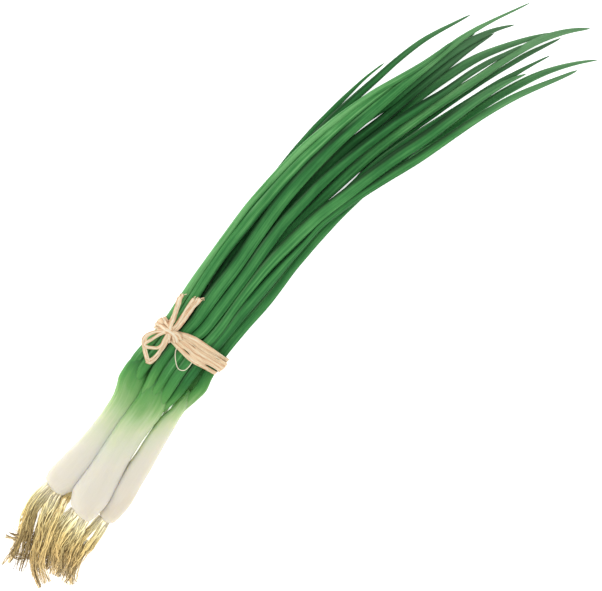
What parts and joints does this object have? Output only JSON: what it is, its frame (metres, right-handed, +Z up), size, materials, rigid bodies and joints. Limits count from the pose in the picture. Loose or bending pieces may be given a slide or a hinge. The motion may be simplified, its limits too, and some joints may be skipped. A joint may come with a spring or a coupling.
{
  "type": "spring onion bunch",
  "caption": "Bunch of fresh spring onions lying on its side: white bulbs with dry roots, pale shanks, long hollow green leaves, held together by a raffia band with a bow.",
  "frame": {"origin": "middle of the footprint, on the surface that the bunch lies on", "axes": "+X runs from the roots to the leaf tips, +Z is up from the surface"},
  "size_m": [0.4952, 0.0973, 0.0236],
  "materials": {
    "stem": "smooth waxy skin, off-white at the bulb and pale green at the neck",
    "leaf": "waxy green leaf with fine lengthwise veins",
    "root": "dry straw-coloured root fibre",
    "raffia": "dry, slightly frayed raffia strands"
  },
  "bodies": {
    "root": {"stem_a": "stem", "stem_b": "stem", "stem_c": "stem", "leaf_a1": "leaf", "leaf_a2": "leaf", "leaf_a3": "leaf", "leaf_a4": "leaf", "leaf_a5": "leaf", "leaf_a6": "leaf", "leaf_b1": "leaf", "leaf_b2": "leaf", "leaf_b3": "leaf", "leaf_b4": "leaf", "leaf_b5": "leaf", "leaf_b6": "leaf", "leaf_b7": "leaf", "leaf_c1": "leaf", "leaf_c2": "leaf", "leaf_c3": "leaf", "leaf_c4": "leaf", "roots_a": "root", "roots_b": "root", "roots_c": "root", "raffia_band": "raffia", "raffia_bow": "raffia"}
  },
  "joints": []
}
